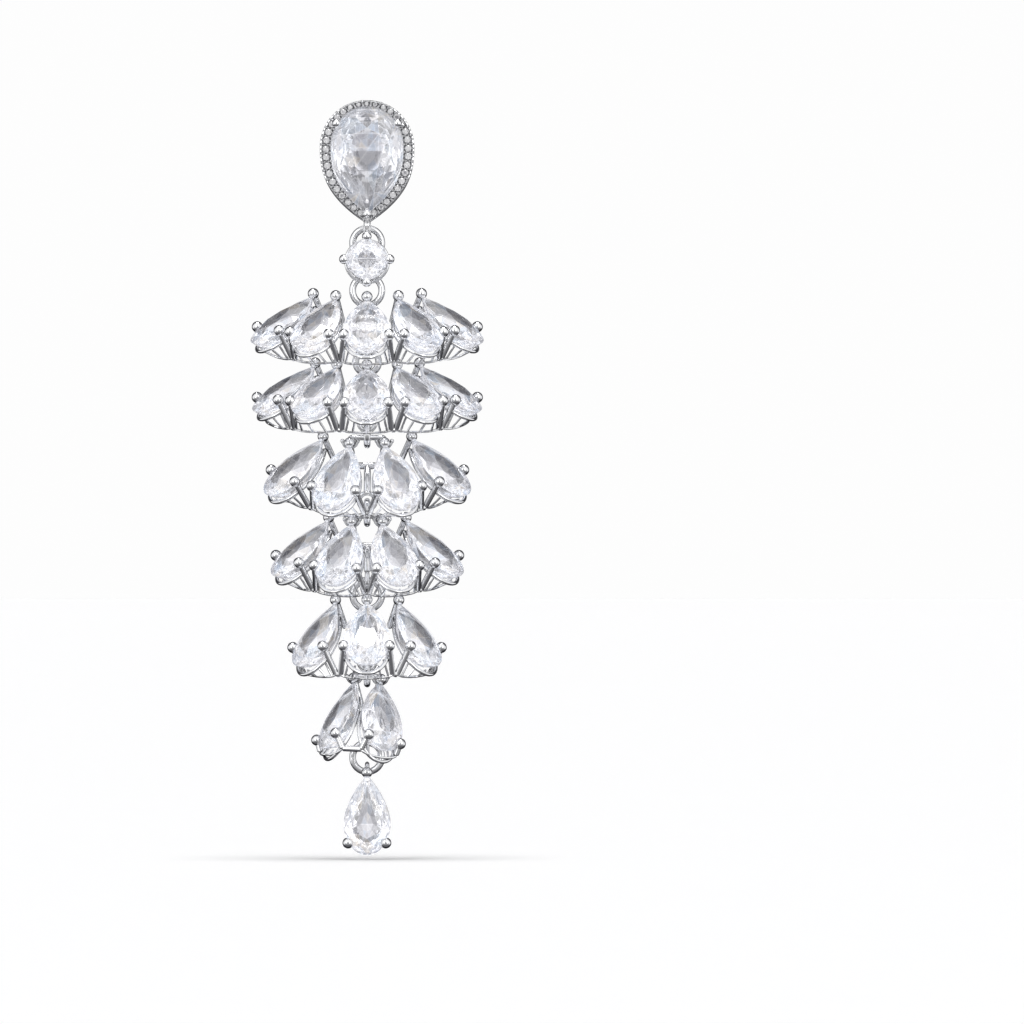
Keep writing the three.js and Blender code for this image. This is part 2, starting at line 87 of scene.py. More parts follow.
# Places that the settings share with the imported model
PRONG_RISE = 0.12
PRONG_REACH = 0.06
APEX_REACH = 0.2
POST_LENGTH = 2.6
POST_LEAN = 25
SEAT_RAIL_DEPTH = 0.75
BALL_RISE = 0.1
POST_MEET = 0.62
OUTER_POST_SHARE = 0.78
BASE_SAG = 0.5
LINK_GAP = 0.1
BAR_RADIUS = 0.25
SPINE_RADIUS = 0.3
SPINE_FLATNESS = 0.7
COLLAR_WIRE = 0.15
COLLAR_DEPTH = 0.25
COLLAR_PATH = ((-0.66, 0.22), (-0.5, -0.18), (0, -0.46), (0.5, -0.18), (0.66, 0.22))
COLLAR_BALL = 1.3
BASE_STEPS = 16
# Steps of the base wire that a rib runs to
RIB_STEPS = (3, 5, 8, 11, 13)
RIB_RADIUS = 0.1
RIB_ACROSS = 0.44
RIB_ALONG = 0.34
RIB_DEPTH = 0.2
LOOP_HOLE = 1.0
LOOP_WIRE = 0.42
RING_WIRE = 0.6
FACE_RING_WIDTH = 3.15
HANG_DEPTH = -2.2
HANG_SETBACK = 1.3
BAR_SETBACK = 0.3

# Stud
STUD_DEPTH = 3.1
STUD_TAPER = 0.8
MAIN_CENTRE_HEIGHT = -1.06
HALO_DROP = 0.12
BAIL_HOLE = 1.3
BAIL_WIDTH = 0.6
BAIL_HOLE_HEIGHT = -7.0
BAIL_STONE_TURNS = (-62, -30, 2, 34, 66)
BAIL_STONE_SINK = 0.03
# Radius and height of each ring of facet corners
BAIL_STONE = ((0.2, 0.0), (0.11, 0.09), (0.1, -0.08))
BAIL_BEAD = 0.08
BAIL_BEAD_SPREAD = 0.27
BAIL_BEAD_STEP = 0.2

# The wall of the stud: shares of the halo's outline outside, of the way from stone to halo over the top,
# and of the stone's outline inside, each with its height
PAVE_FLOOR = STUD_DEPTH - 0.16
WALL_CORNERS = 96
WALL_OUTSIDE = ((STUD_TAPER, 0), (0.97, 1.2), (0.985, 1.8))
WALL_TOP = ((0.96, 2.2), (0.93, 2.6), (0.97, 2.9), (0.97, 3.06), (0.9, STUD_DEPTH), (0.86, PAVE_FLOOR),
            (0.2, PAVE_FLOOR), (0.16, STUD_DEPTH), (0.08, STUD_DEPTH - 0.04))
WALL_INSIDE = ((0.93, STUD_DEPTH - 0.6), (0.84, STUD_DEPTH - 0.9), (0.84 * STUD_TAPER, 0))
GALLERY_SHARE = 0.965
GALLERY_HEIGHT = 1.5
GALLERY_DROP = 0.22
GALLERY_WIRE = 0.17

# The halo's row of small stones
ROW_CORNERS = 480
ROW_MIDDLE = 0.52
ROW_EDGES = (0.1, 0.94)
ROW_FILL = 0.95
# Share of the radius, height and turn of each ring of a small stone's facet corners
PAVE_STONE = ((0.98, 0.02, 0.0), (0.8, 0.1, 0.39), (0.5, 0.16, 0.0), (0.4, -0.1, 0.0))
BEAD_LIFT = 0.02
BEAD_SINK = 0.06
SMALL_BEAD = 0.7
BEAD_PLACES = (0.28, 0.72)
EDGE_WIRE = 0.09

# The stud's prongs, and the bar behind it
STUD_SIDE_SHARE = 0.43
STUD_ROUND_SHARE = 0.34
STUD_TIP_REACH = 0.08
STUD_TIP_RISE = 0.45
STUD_SIDE_RISE = 0.55
SPARE_BEAD = (-3.1, -3.02, STUD_DEPTH + 0.08)
SPARE_BEAD_RADIUS = 0.19
BACK_REACH = 2.7
BACK_DEPTH = 0.5
BACK_HALF_HEIGHT = 0.8
BACK_EASE = 0.05

# Ear post: distance behind the stud, and radius
POST_PROFILE = ((0.1, 1.0), (0.14, 1.08), (0.38, 1.08), (0.44, 1.0), (0.46, 0.5), (0.55, 0.4), (8.6, 0.4),
                (8.7, 0.33), (9.0, 0.33), (9.1, 0.4), (10.2, 0.38), (10.5, 0.25), (10.6, 0.1))

# Round link
LINK_DROP = 0.2
LINK_FRONT = 2.6
LINK_BASE_DEPTH = 1.9
LINK_TOP_DEPTH = 1.3
LINK_HOLE_PITCH = 1.6
LINK_PRONG_RADIUS = 0.43
LINK_RIM_SHARE = 1.06
LINK_RIM_HEIGHT = -1.45
LINK_RIM_DROP = -0.18
LINK_RIM_WIRE = 0.13

# Last drop
DROP_GRIP = 2.45
DROP_FRONT = 1.5
DROP_BASE_DEPTH = 1.5
DROP_APEX_DEPTH = 0.8

# Tiers from the top, with the same columns as the model's own table
TIERS = [
    dict(stones=5, step=30, apex=5.4, foot=9.9, tilt=57.5, pitch=6.6, yaw=0, roll=0,
         shift=0, ring=3.15, hang="loop", top=-0.8, drop=3.95, foot_loop="side"),
    dict(stones=5, step=30, apex=5.2, foot=9.95, tilt=58, pitch=4.5, yaw=0, roll=0,
         shift=0, ring=2.6, hang="loop", top=-0.75, drop=4.3, foot_loop="face"),
    dict(stones=4, step=39, apex=4.48, foot=8.57, tilt=54.3, pitch=17.5, yaw=0, roll=0,
         shift=0, ring=2.55, hang="bar", top=0.45, drop=5.55, foot_loop="face"),
    dict(stones=4, step=39, apex=3.9, foot=8.09, tilt=52, pitch=11, yaw=0, roll=0,
         shift=0, ring=2.55, hang="bar", top=0.45, drop=5.58, foot_loop="side"),
    dict(stones=3, step=48, apex=3.63, foot=6.83, tilt=37.5, pitch=-2.9, yaw=0, roll=0,
         shift=0, ring=3.15, hang="loop", top=-0.75, drop=4.57, foot_loop="face"),
    dict(stones=2, step=90, apex=1.65, foot=3.62, tilt=18.5, pitch=-18, yaw=-15, roll=7,
         shift=0.35, ring=2.55, hang="bar", top=0.3, drop=5.75, foot_loop="side", posts=0.5),
]

# Studio, in metres and degrees
LIGHT_TARGET = (0, 0, -0.03)
OVERHEAD_PLACE = (0, -0.03, 0.6)
OVERHEAD_SPREAD = 24
TALL_LIGHT_SIZE = (0.18, 0.5)
TALL_LIGHT_PLACE = (0.28, -0.5, 0.12)
FLOOR_CORNERS = 96
SENSOR_WIDTH = 36


class Cut:
    """The outline and depth of one kind of stone."""

    def __init__(self, length, width, fullness=2.0, is_round=False):
        self.length = length
        self.width = width
        self.fullness = fullness
        self.is_round = is_round
        self.centre = 0.0 if is_round else length * (HEAD_SHARE - 0.5)

    def half_width(self, along):
        head = self.length * HEAD_SHARE
        if along > self.centre:
            share = (along - self.centre) / (self.length / 2 - self.centre)
            return self.width / 2 * (1 - share ** self.fullness)
        return self.width / 2 * math.sqrt(max(0.0, 1 - ((self.centre - along) / head) ** 2))

    def outline(self, corners):
        """Points round the girdle, from the tip and round to the left."""
        points = []
        head = self.length * HEAD_SHARE
        flank = self.length / 2 - self.centre
        for i in range(corners):
            turn = 2 * math.pi * i / corners
            rise = math.cos(turn)
            if self.is_round:
                points.append(Vector((-math.sin(turn), rise, 0)) * self.width / 2)
                continue
            along = self.centre + (flank * (1 - (1 - rise) ** TIP_CROWDING) if rise > 0 else head * rise)
            side = 1 if turn > math.pi else -1
            points.append(Vector((side * self.half_width(along), along, 0)))
        return points

    def ring(self, corners, share, height, shift=0.0):
        """The girdle's outline shrunk towards the middle of the round end."""
        return [Vector((p.x * share, (p.y - self.centre) * share + self.centre + shift, height))
                for p in self.outline(corners)]


MAIN = Cut(9.3, 6.2, 2.5)
HALO = Cut(10.5, 8.1, 2.5)
PEAR = Cut(7.0, 4.0, 2.1)
DROP = Cut(7.0, 4.0, 1.75)
ROUND = Cut(3.5, 3.5, is_round=True)


class Socket:
    """A shader socket that can stand in a Python sum; each sum adds a Math node."""

    def __init__(self, nodes, output):
        self.nodes = nodes
        self.output = output

    def maths(self, operation, first, second):
        return self.nodes.add("ShaderNodeMath", {"operation": operation}, {0: first, 1: second})

    def __add__(self, other):
        return self.maths("ADD", self, other)

    def __radd__(self, other):
        return self.maths("ADD", other, self)

    def __sub__(self, other):
        return self.maths("SUBTRACT", self, other)

    def __rsub__(self, other):
        return self.maths("SUBTRACT", other, self)

    def __mul__(self, other):
        return self.maths("MULTIPLY", self, other)

    def __rmul__(self, other):
        return self.maths("MULTIPLY", other, self)


class Nodes:
    """The nodes of one material or of the world."""

    def __init__(self, tree):
        self.tree = tree
        tree.nodes.clear()

    def add(self, kind, settings=None, inputs=None, output=0):
        node = self.tree.nodes.new(kind)
        for name, value in (settings or {}).items():
            if name == "stops":
                ramp = node.color_ramp.elements
                while len(ramp) < len(value):
                    ramp.new(0.5)
                for stop, (place, colour) in zip(ramp, value):
                    stop.position = place
                    stop.color = (*colour, 1)
            else:
                setattr(node, name, value)
        for name, value in (inputs or {}).items():
            if isinstance(value, Socket):
                self.tree.links.new(value.output, node.inputs[name])
            else:
                node.inputs[name].default_value = value
        return Socket(self, node.outputs[output]) if node.outputs else node

    def ramp(self, amount, stops):
        """A colour for each amount from 0 to 1."""
        return self.add("ShaderNodeValToRGB", {"stops": stops}, {"Fac": amount})

    def mix(self, amount, first, second, blend="MIX"):
        """Two colours mixed, or multiplied together."""
        return self.add("ShaderNodeMix", {"data_type": "RGBA", "blend_type": blend},
                        {0: amount, 6: first, 7: second}, 2)


def new_material(name):
    material = bpy.data.materials.new(name)
    material.use_nodes = True
    return material, Nodes(material.node_tree)


def polished_metal(settings):
    """Rhodium-plated silver: hand polished, with cloudy wear, hairline scratches, and painted shade
    darkening its hollows and the narrow gaps between parts.
    """
    material, nodes = new_material("polished silver")
    place = nodes.add("ShaderNodeTexCoord", output=3)
    clouds = nodes.add("ShaderNodeTexNoise", None, {"Vector": place, "Scale": 900.0, "Detail": 3.0})
    hairs = nodes.add("ShaderNodeTexNoise", None, {"Vector": place, "Scale": 9000.0, "Detail": 2.0})
    rough = clouds * 0.05 + (settings.metal_roughness - 0.02)
    worn = tuple(c * 0.96 for c in settings.metal_colour)
    tint = nodes.ramp(clouds, [(0.35, worn), (0.65, tuple(settings.metal_colour))])
    # Painted shade: ambient occlusion darkens the metal's colour to near black in hollows and narrow gaps
    # between parts.
    occlusion_amount = nodes.add("ShaderNodeAmbientOcclusion", {"samples": 4}, {"Distance": settings.crevice_shade_reach}, 1)
    dark = nodes.ramp(occlusion_amount, [(0.25, (0.13, 0.13, 0.14)), (0.8, WHITE)])
    tint = nodes.mix(1.0, tint, dark, "MULTIPLY")
    bump = nodes.add("ShaderNodeBump", None, {"Strength": 0.04, "Distance": 0.00002, "Height": hairs})
    shader = nodes.add("ShaderNodeBsdfPrincipled", None, {
        "Base Color": tint, "Metallic": 1.0, "Roughness": rough, "Normal": bump})
    nodes.add("ShaderNodeOutputMaterial", None, {"Surface": shader})
    return material


def clear_stone(settings):
    """Clear cut stone: painted shade makes its table grey-lilac, a painted glow makes its facets bright,
    with painted flashes of pale blue and peach in a few of them.
    """
    material, nodes = new_material("clear stone")
    tone = nodes.add("ShaderNodeAttribute", {"attribute_name": "tone"}, output=2)
    body = tuple(settings.stone_colour)
    # Base colour per facet: painted shade makes the table and some facets darker, and painted flashes tint
    # a few facets pale blue or peach.
    tint = nodes.ramp(tone, [
        (0.0, tuple(c * 0.82 for c in body)), (0.08, body), (0.35, tuple(c * 0.96 for c in body)),
        (0.6, body), (0.84, (0.9, 0.95, 1.0)), (0.9, body), (0.97, (1.0, 0.96, 0.91))])
    # Painted light: each facet glows at its own random brightness, dim on the table, with pale blue and
    # peach flashes.
    inner = nodes.ramp(tone, [
        (0.0, (0.3, 0.3, 0.35)), (0.09, (0.9, 0.9, 0.95)), (0.25, (0.25, 0.25, 0.29)),
        (0.45, (1.0, 1.0, 1.05)), (0.7, (1.5, 1.5, 1.5)), (0.86, (0.7, 0.9, 1.25)),
        (0.93, (1.4, 1.4, 1.4)), (1.0, (1.4, 1.2, 0.95))])
    # Painted glints: a bright glow along the edges between facets.
    edges = nodes.add("ShaderNodeWireframe", None, {"Size": settings.edge_width})
    glint = nodes.mix(edges, inner, (3.0, 3.0, 3.1, 1.0))
    # Painted shade: colour and glow darken on facets that slant away, drawing a dark outline round each
    # stone.
    slant = nodes.add("ShaderNodeLayerWeight", None, {"Blend": 0.5}, 1)
    rim = nodes.ramp(slant, [(0.5, WHITE), (0.92, (0.4, 0.4, 0.43))])
    tint = nodes.mix(1.0, tint, rim, "MULTIPLY")
    glint = nodes.mix(1.0, glint, rim, "MULTIPLY")
    shader = nodes.add("ShaderNodeBsdfPrincipled", None, {
        "Base Color": tint, "Roughness": 0.0, "IOR": settings.stone_refraction,
        "Transmission Weight": settings.stone_clarity, "Emission Color": glint,
        "Emission Strength": settings.painted_glow})
    nodes.add("ShaderNodeOutputMaterial", None, {"Surface": shader})
    return material


def pave_stone(settings):
    """The halo's tiny stones: too small to see into, so they sparkle from their facets by painted light,
    with a painted glint or a painted dark reflection on each facet and a painted glow.
    """
    material, nodes = new_material("pave stone")
    tone = nodes.add("ShaderNodeAttribute", {"attribute_name": "tone"}, output=2)
    # Painted reflections: each facet is random from dark to near white, used both as base colour and as
    # painted glow.
    tint = nodes.ramp(tone, [
        (0.0, (0.12, 0.12, 0.13)), (0.25, (0.6, 0.6, 0.63)), (0.5, (0.97, 0.97, 0.98))])
    shader = nodes.add("ShaderNodeBsdfPrincipled", None, {
        "Base Color": tint, "Roughness": 0.05, "IOR": settings.stone_refraction,
        "Transmission Weight": 0.35, "Emission Color": tint, "Emission Strength": settings.painted_glow})
    nodes.add("ShaderNodeOutputMaterial", None, {"Surface": shader})
    return material


def studio_paper(settings):
    """White backdrop paper with a trace of grain."""
    material, nodes = new_material("backdrop paper")
    place = nodes.add("ShaderNodeTexCoord", output=3)
    grain = nodes.add("ShaderNodeTexNoise", None, {"Vector": place, "Scale": 400.0, "Detail": 2.0})
    tint = nodes.ramp(grain, [(0.3, tuple(c * 0.985 for c in settings.paper_colour)),
                              (0.7, tuple(settings.paper_colour))])
    shader = nodes.add("ShaderNodeBsdfPrincipled", None, {
        "Base Color": tint, "Roughness": 0.9, "Emission Color": tint,
        "Emission Strength": settings.paper_glow})
    nodes.add("ShaderNodeOutputMaterial", None, {"Surface": shader})
    return material


class Shape:
    """Gathers the faces of one piece, and makes its mesh."""

    def __init__(self, seed=0):
        self.points = []
        self.faces = []
        self.tones = []
        self.chance = random.Random(seed)

    def take(self, points, faces, place=None, tones=None):
        first = len(self.points)
        self.points += [place @ p if place else p for p in points]
        self.faces += [tuple(first + i for i in face) for face in faces]
        self.tones += tones or [self.chance.random() for _ in faces]

    def skin(self, rings, closed=False, place=None):
        """Joins rings of points side by side, and closes both ends unless the rings run round."""
        size = len(rings[0])
        points = [p for ring in rings for p in ring]
        faces = []
        for j in range(len(rings) if closed else len(rings) - 1):
            low, high = j * size, (j + 1) % len(rings) * size
            faces += [(low + i, low + (i + 1) % size, high + (i + 1) % size, high + i) for i in range(size)]
        if not closed:
            faces += [tuple(reversed(range(size))), tuple(range(len(points) - size, len(points)))]
        self.take(points, faces, place)

    def wire(self, path, radius, sides=12, closed=False, place=None, flat=1.0, side=None):
        """A wire along a path. `radius` is a number, or one number for each point of the path.
        `flat` thins it square to `side`."""
        radii = radius if isinstance(radius, (list, tuple)) else [radius] * len(path)
        count = len(path)
        rings = []
        for i, at in enumerate(path):
            ahead = path[(i + 1) % count] if closed or i < count - 1 else at
            behind = path[i - 1] if closed or i > 0 else at
            run = (ahead - behind).normalized()
            if side is None:
                side = run.orthogonal().normalized()
            side = (side - run * side.dot(run)).normalized()
            other = run.cross(side)
            rings.append([at + (side * math.cos(a) + other * math.sin(a) * flat) * radii[i]
                          for a in (2 * math.pi * k / sides for k in range(sides))])
        self.skin(rings, closed, place)

    def rod(self, start, end, radius, sides=12, place=None, flat=1.0, side=None):
        """A straight rod with slightly eased ends."""
        run = end - start
        ease = min(0.3 * radius, run.length / 4)
        step = run.normalized() * ease
        radii = [radius - ease, radius, radius, radius - ease]
        self.wire([start, start + step, end - step, end], radii, sides, place=place, flat=flat, side=side)

    def ball(self, at, radius, place=None, rows=12, sides=18):
        """A round bead."""
        turns = [2 * math.pi * k / sides for k in range(sides)]
        rings = []
        for j in range(1, rows):
            across, up = math.sin(math.pi * j / rows), math.cos(math.pi * j / rows)
            rings.append([at + Vector((across * math.cos(a), across * math.sin(a), up)) * radius
                          for a in turns])
        self.skin(rings, place=place)

    def hull(self, points, place=None, table=None):
        """The faceted solid round a set of points. A facet at the height `table` gets tone 0."""
        mesh = bmesh.new()
        corners = [mesh.verts.new(p) for p in points]
        made = bmesh.ops.convex_hull(mesh, input=corners)
        spare = [v for v in set(made["geom_interior"] + made["geom_unused"])
                 if isinstance(v, bmesh.types.BMVert)]
        bmesh.ops.delete(mesh, geom=spare, context="VERTS")
        bmesh.ops.dissolve_limit(mesh, angle_limit=math.radians(FLAT_ANGLE), verts=mesh.verts[:],
                                 edges=mesh.edges[:])
        mesh.verts.index_update()
        tones = [0.0 if table is not None and all(abs(v.co.z - table) < TABLE_SLACK for v in f.verts)
                 else self.chance.uniform(0.1, 1.0) for f in mesh.faces]
        faces = [[v.index for v in f.verts] for f in mesh.faces]
        self.take([v.co.copy() for v in mesh.verts], faces, place, tones)
        mesh.free()

    def piece(self, name, material, body, nodes=(), smooth=False):
        """Makes the object, with its finish, and fixes it to its body."""
        mesh = bpy.data.meshes.new(name)
        mesh.from_pydata([p * MM for p in self.points], [], self.faces)
        mesh.attributes.new("tone", "FLOAT", "FACE").data.foreach_set("value", self.tones)
        check = bmesh.new()
        check.from_mesh(mesh)
        bmesh.ops.recalc_face_normals(check, faces=check.faces[:])
        check.to_mesh(mesh)
        check.free()
        if smooth:
            mesh.shade_smooth()
            mesh.set_sharp_from_angle(angle=math.radians(SHARP_ANGLE))
        else:
            mesh.shade_flat()
        mesh.materials.append(material)
        thing = bpy.data.objects.new(name, mesh)
        bpy.context.scene.collection.objects.link(thing)
        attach(thing, body)
        if nodes:
            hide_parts(*nodes)


def circle(at, radius, plane, count=40):
    """Points of a ring: 'face' lies in the XZ plane, 'side' in the YZ plane."""
    points = []
    for k in range(count):
        angle = 2 * math.pi * k / count
        across, up = math.sin(angle) * radius, math.cos(angle) * radius
        points.append(at + (Vector((across, 0, up)) if plane == "face" else Vector((0, across, up))))
    return points


def rounded(corners, reach=0.25, steps=5):
    """A path through corners that turns each one in a small curve."""
    path = [corners[0]]
    for before, at, after in zip(corners, corners[1:], corners[2:]):
        start = at + (before - at).normalized() * min(reach, (before - at).length / 2)
        end = at + (after - at).normalized() * min(reach, (after - at).length / 2)
        for k in range(steps + 1):
            share = k / steps
            path.append(start.lerp(at, share).lerp(at.lerp(end, share), share))
    return path + [corners[-1]]


def loop(shape, height, plane):
    """One of the small loops that a ring hangs in, behind the stones."""
    mean = (LOOP_HOLE + LOOP_WIRE) / 2
    shape.wire(circle(Vector((0, HANG_DEPTH, height)), mean, plane), LOOP_WIRE / 2, 12, closed=True)


def facing(at):
    """The place of an upright stone seen from the front: its X, Y, Z become X, Z and -Y."""
    turn = Matrix(((1, 0, 0), (0, 0, -1), (0, 1, 0))).to_4x4()
    return Matrix.Translation(at) @ turn


def gem(shape, cut, place, fine=1):
    """One faceted stone: table, stars, kites, thin girdle, long pavilion facets and culet."""
    crown = cut.width * CROWN_SHARE
    deep = cut.width * PAVILION_SHARE
    looks = bpy.context.scene.earring_stones
    edge = looks.girdle / MM
    spread = Matrix.Diagonal((GEM_SPREAD, (GEM_SPREAD + 1) / 2, 1, 1))
    points = cut.ring(16, looks.table_share, crown)[::2]
    points += cut.ring(16, 0.5 + looks.table_share * STAR_SHARE, crown * STAR_HEIGHT)[1::2]
    points += cut.ring(32 * fine, GIRDLE_SHARE, edge)
    points += cut.ring(32 * fine, GIRDLE_SHARE, -edge)
    for corners, first, share, depth in PAVILION_ROWS:
        points += cut.ring(corners, share, -deep * depth)[first::2]
    points.append(Vector((0, cut.centre, -deep * CULET_SHARE)))
    shape.hull([spread @ p for p in points], place, table=crown)


def grips_of(cut, grip):
    """Where three prongs hold a pear: at its point, and on both sides of its round end."""
    across = cut.half_width(-grip) + PRONG_REACH
    return [Vector((0, cut.length / 2 + APEX_REACH, PRONG_RISE)), Vector((across, -grip, PRONG_RISE)),
            Vector((-across, -grip, PRONG_RISE))]


def leaning(lean):
    return Vector((0, -math.sin(math.radians(lean)), -math.cos(math.radians(lean))))


def basket(shape, cut, grips, lean, feet, ball, place):
    """Prongs with their balls, and the rounded seat rail under the stone."""
    metal = bpy.context.scene.earring_metal
    for at, foot in zip(grips, feet):
        shape.ball(at + Vector((0, 0, BALL_RISE)), ball, place)
        shape.rod(at, foot, metal.post_radius / MM, place=place)
    share = 1 + 2 * PRONG_REACH / cut.width
    rail = metal.rail_radius / MM
    height = -SEAT_RAIL_DEPTH - rail
    shift = -SEAT_RAIL_DEPTH * math.tan(math.radians(lean))
    inset = share - 2 * rail / cut.width
    shape.wire(cut.ring(48, inset, height, shift), rail, 10, closed=True, place=place)


def base_wire(shape, cut, feet, radius, place):
    """The thin wire that joins a basket's lower posts under the stone's round end, and its short ribs."""
    middle, half = (feet[1] + feet[2]) / 2, (feet[1] - feet[2]) / 2
    turns = [math.radians(-90 + 180 * k / BASE_STEPS) for k in range(BASE_STEPS + 1)]
    path = [middle + half * math.sin(a) + Vector((0, -BASE_SAG * math.cos(a), 0)) for a in turns]
    shape.wire(path, radius, 8, place=place)
    for k in RIB_STEPS:
        across = cut.width * RIB_ACROSS * math.sin(turns[k])
        along = cut.centre - cut.length * RIB_ALONG * math.cos(turns[k])
        rim = Vector((across, along, -SEAT_RAIL_DEPTH - RIB_DEPTH))
        shape.rod(rim, path[k], RIB_RADIUS, place=place, sides=8)


def collar(shape, at):
    """The winged loop that cups the ball at a stone's point."""
    points = [at + Vector((x, COLLAR_DEPTH, z)) for x, z in COLLAR_PATH]
    shape.wire(rounded(points), COLLAR_WIRE, 10)
    for end in (points[0], points[-1]):
        shape.ball(end, COLLAR_WIRE * COLLAR_BALL, rows=8, sides=10)


def tier_frames(tier):
    """The place of each stone in a tier before it is hung: Y up to its tip, Z out of its table."""
    frames = []
    tilt = math.radians(tier["tilt"])
    for i in range(tier["stones"]):
        turn = math.radians((i - (tier["stones"] - 1) / 2) * tier["step"] + tier["yaw"])
        out = Vector((math.sin(turn), -math.cos(turn), 0))
        across = Vector((math.cos(turn), math.sin(turn), 0))
        along = out * -math.sin(tilt) + Vector((0, 0, math.cos(tilt)))
        normal = across.cross(along)
        tip = along * (PEAR.length / 2 + APEX_REACH) + normal * PRONG_RISE
        turned = Matrix((across, along, normal)).transposed().to_4x4()
        frames.append(Matrix.Translation(out * tier["apex"] - tip) @ turned)
    return frames


def hang_tier(tier, height):
    """The places of a tier's stones as it hangs, and which of them are the inner ones."""
    frames = tier_frames(tier)
    tip = Vector((0, PEAR.length / 2 + APEX_REACH, PRONG_RISE))
    count = tier["stones"]
    centred = tier["hang"] == "loop"
    inner = [(count - 1) // 2] if centred else [count // 2 - 1, count // 2]
    tips = [frames[i] @ tip for i in inner]
    if centred:
        depth, setback = tips[0].y, HANG_SETBACK
    else:
        depth = tips[0].y + (tips[1].y - tips[0].y) * tips[0].x / (tips[0].x - tips[1].x)
        setback = BAR_SETBACK
    swing = (Matrix.Translation((0, HANG_DEPTH, height))
             @ Matrix.Rotation(math.radians(tier["roll"]), 4, "Y")
             @ Matrix.Rotation(math.radians(tier["pitch"]), 4, "X")
             @ Matrix.Translation((tier["shift"], -depth - setback, -tier["top"])))
    return [swing @ place for place in frames], inner


def tier_heights():
    """The hole that each ring hangs in, and the height that each tier hangs at, from the top down."""
    hole = BAIL_HOLE_HEIGHT
    foot = hole - (FACE_RING_WIDTH - RING_WIRE)
    holes = [hole]
    hole = foot - LINK_HOLE_PITCH
    heights = []
    for tier in TIERS:
        holes.append(hole)
        foot = hole - (tier["ring"] - RING_WIRE)
        heights.append(foot if tier["hang"] == "loop" else foot + RING_WIRE / 2 + BAR_RADIUS + LINK_GAP)
        hole = heights[-1] - tier["drop"]
    return holes + [hole], heights


RING_HOLES, TIER_HEIGHTS = tier_heights()


def finish_of(name, make, settings):
    """A finish is made once and shared."""
    return bpy.data.materials.get(name) or make(settings)


def silver():
    return finish_of("polished silver", polished_metal, bpy.context.scene.earring_metal)


def crystal():
    return finish_of("clear stone", clear_stone, bpy.context.scene.earring_stones)


def pave():
    return finish_of("pave stone", pave_stone, bpy.context.scene.earring_stones)


def length(name, words, default):
    """A size in metres that a user may change."""
    return bpy.props.FloatProperty(name=name, description=words, default=default, min=0.0, precision=5,
                                   subtype="DISTANCE", unit="LENGTH")


def portion(name, words, default, most=1.0):
    return bpy.props.FloatProperty(name=name, description=words, default=default, min=0.0, max=most,
                                   subtype="FACTOR")


def colour(name, words, default):
    return bpy.props.FloatVectorProperty(name=name, description=words, default=default, size=3, min=0.0,
                                         max=1.0, subtype="COLOR")


class EarringMetal(bpy.types.PropertyGroup):
    metal_colour: colour("Metal colour", "Colour of the rhodium-plated silver", (0.93, 0.935, 0.945))
    metal_roughness: portion("Metal roughness", "How blurred the metal's reflections are", 0.06)
    # Reach of the painted shade that darkens the metal's colour in hollows and narrow gaps.
    crevice_shade_reach: length("Crevice", "How far into a crevice polishing doesn't reach", 0.0002)
    ball_radius: length("Ball radius", "Radius of the tiers' prong balls", 0.0005)
    stud_ball_radius: length("Stud ball radius", "Radius of the stud's prong balls", 0.0004)
    post_radius: length("Post radius", "Radius of the posts under the balls", 0.00027)
    rail_radius: length("Rail radius", "Radius of the seat rail's wire", 0.00018)
    base_radius: length("Base wire radius", "Radius of the thin wires at the foot of a tier", 0.00011)
    bead_radius: length("Grain radius", "Radius of the grain beads that hold the halo's stones", 0.00014)


class EarringStones(bpy.types.PropertyGroup):
    stone_colour: colour("Stone colour", "Body colour of the clear stones", (0.965, 0.96, 0.985))
    stone_refraction: bpy.props.FloatProperty(
        name="Refraction", description="Index of refraction of the stones", default=1.8, min=1.0, max=3.0)
    stone_clarity: portion("Clarity", "How much of the light goes through the stones", 0.97)
    # Strength of the painted glow and glints that the stones and the halo's small stones give from their
    # facets.
    painted_glow: portion("Inner light", "Light that a stone throws back from each facet", 0.105)
    table_share: portion("Table", "Width of a stone's table, as a share of the stone", 0.46)
    # Width of the painted glints along the edges between facets.
    edge_width: length("Edge width", "Width of the bright edges between facets", 0.00002)
    girdle: length("Girdle", "Half the thickness of a stone's girdle", 0.00004)
    pave_radius: length("Pave radius", "Radius of the halo's small stones", 0.00031)
    pave_count: bpy.props.IntProperty(
        name="Pave stones", description="Number of small stones round the halo", default=36, min=12, max=60)


class EarringStudio(bpy.types.PropertyGroup):
    paper_colour: colour("Paper colour", "Colour of the floor and backdrop", (0.97, 0.97, 0.975))
    room_colour: colour("Room colour", "Colour of the room behind the floor", (0.985, 0.985, 0.985))
    fill_light: portion("Fill light", "Light that the room gives to the floor", 0.36)
    paper_glow: portion("Paper glow", "Light that the paper gives back by itself", 0.158, 5.0)
    distance: length("Camera distance", "From the camera to the front of the earring", 1.0)
    view_width: length("View width", "Width that the picture spans at the earring", 0.08904)
    view_side: length("View side", "How far the picture's middle is to the right of the earring", 0.01263)
    view_drop: length("View drop", "How far the picture's middle is below the ear post", 0.03174)
    key_power: bpy.props.FloatProperty(
        name="Overhead light", description="Strength of the broad soft light overhead", default=1.66,
        min=0.0)
    front_power: bpy.props.FloatProperty(
        name="Front light", description="Power of each soft light in front", default=0.4, min=0.0,
        subtype="POWER", unit="POWER")
    floor_gap: length("Floor gap", "From the foot of the drop down to the floor", 0.0003)
    floor_radius: length("Floor radius", "Radius of the round floor", 3.0)
    world_light: portion("Studio light", "Strength of the light from the studio's walls", 1.0, 5.0)


